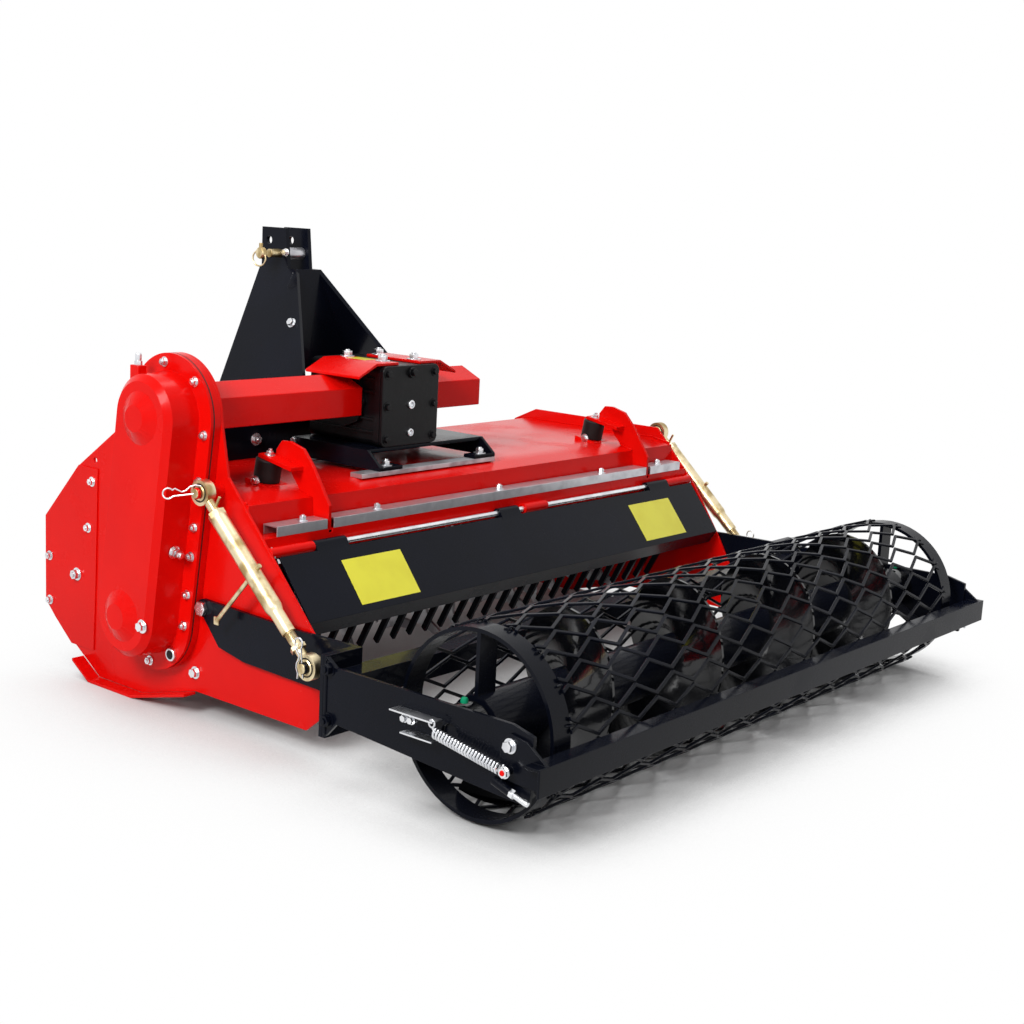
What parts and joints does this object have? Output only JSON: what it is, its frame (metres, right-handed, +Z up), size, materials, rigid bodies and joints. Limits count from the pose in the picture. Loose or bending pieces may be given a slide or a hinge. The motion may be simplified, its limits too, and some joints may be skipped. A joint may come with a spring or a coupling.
{
  "type": "stone burier",
  "caption": "Three-point stone burier with side chain drive, bladed rotor, sprung separating grille, hinged tailgate and a mesh cage roller set by turnbuckles",
  "frame": {"origin": "on the ground, midway along and across the machine", "axes": "X to the machine's right along the rotor and the roller, Y forward to the tractor, Z up"},
  "size_m": [1.6906, 1.47, 0.957],
  "materials": {
    "red_paint": "gloss",
    "black_paint": "satin",
    "black_casting": "satin",
    "yellow_zinc": "satin",
    "bright_zinc": "satin",
    "bare_steel": "satin",
    "black_rubber": "matte"
  },
  "bodies": {
    "machine": {"hood": "red_paint", "left_side_plate": "red_paint", "right_side_plate": "red_paint", "left_skid": "red_paint", "right_skid": "red_paint", "chain_housing": "red_paint", "chain_gasket": "black_rubber", "chain_cover": "red_paint", "main_beam": "red_paint", "headstock": "black_paint", "top_link_pin": "yellow_zinc", "top_link_spacer": "bright_zinc", "left_lower_hitch": "black_paint", "right_lower_hitch": "black_paint", "gearbox": "black_casting", "gearbox_cover": "black_casting", "gearbox_wings": "red_paint", "gearbox_support": "black_paint", "support_strip": "bare_steel", "clamp_rails": "bright_zinc", "grille_arms": "red_paint", "rubber_buffers": "black_rubber", "separating_tines": "black_paint", "tailgate_rod": "bright_zinc", "rotor_bearings": "black_paint", "pivot_bolts": "bright_zinc", "upper_link_pins": "yellow_zinc"},
    "rotor": {"rotor_shaft": "black_paint", "rotor_blades": "bare_steel"},
    "pto_input": {"pto_shaft": "bare_steel"},
    "tailgate_leaf": {"tailgate": "black_paint"},
    "roller_carrier": {"left_pivot_arm": "black_paint", "right_pivot_arm": "black_paint", "roller_frame": "black_paint", "roller_bearings": "black_paint", "scraper_bar": "black_paint", "scraper_springs": "bright_zinc", "lower_link_pins": "yellow_zinc"},
    "cage_roller": {"cage_rings": "black_paint", "cage_auger": "black_paint", "cage_mesh": "black_paint"},
    "left_link_tube": {"left_turnbuckle_tube": "yellow_zinc"},
    "left_link_screw": {"left_turnbuckle_screw": "yellow_zinc"},
    "right_link_tube": {"right_turnbuckle_tube": "yellow_zinc"},
    "right_link_screw": {"right_turnbuckle_screw": "yellow_zinc"}
  },
  "joints": [
    {"name": "rotor_spin", "type": "hinge", "parent": "machine", "child": "rotor", "pos_m": [0, 0.342, 0.198], "axis": [1, 0, 0], "continuous": true},
    {"name": "pto_spin", "type": "hinge", "parent": "machine", "child": "pto_input", "pos_m": [-0.19, 0.45, 0.598], "axis": [0, 1, 0], "continuous": true},
    {"name": "tailgate_swing", "type": "hinge", "parent": "machine", "child": "tailgate_leaf", "pos_m": [0, 0.03, 0.365], "axis": [-1, 0, 0], "range_deg": [0, 60]},
    {"name": "roller_depth", "type": "hinge", "parent": "machine", "child": "roller_carrier", "pos_m": [0, 0.196, 0.229], "axis": [-1, 0, 0], "range_deg": [-7, 7]},
    {"name": "cage_spin", "type": "hinge", "parent": "roller_carrier", "child": "cage_roller", "pos_m": [0, -0.523, 0.175], "axis": [1, 0, 0], "continuous": true},
    {"name": "left_link_swing", "type": "hinge", "parent": "machine", "child": "left_link_tube", "pos_m": [-0.765, 0.165, 0.467], "axis": [-1, 0, 0], "range_deg": [-5, 5]},
    {"name": "left_link_screw_slide", "type": "slide", "parent": "left_link_tube", "child": "left_link_screw", "axis": [0, -0.7405, -0.6721], "range_m": [-0.025, 0.025]},
    {"name": "right_link_swing", "type": "hinge", "parent": "machine", "child": "right_link_tube", "pos_m": [0.765, 0.165, 0.467], "axis": [-1, 0, 0], "range_deg": [-5, 5]},
    {"name": "right_link_screw_slide", "type": "slide", "parent": "right_link_tube", "child": "right_link_screw", "axis": [0, -0.7405, -0.6721], "range_m": [-0.025, 0.025]}
  ],
  "couplings": [
    {"joint": "pto_spin", "follows": "rotor_spin", "ratio": -2.4},
    {"joint": "left_link_swing", "follows": "roller_depth", "ratio": 0.665},
    {"joint": "left_link_screw_slide", "follows": "roller_depth", "m_per_rad": -0.197},
    {"joint": "right_link_swing", "follows": "roller_depth", "ratio": 0.665},
    {"joint": "right_link_screw_slide", "follows": "roller_depth", "m_per_rad": -0.197}
  ]
}
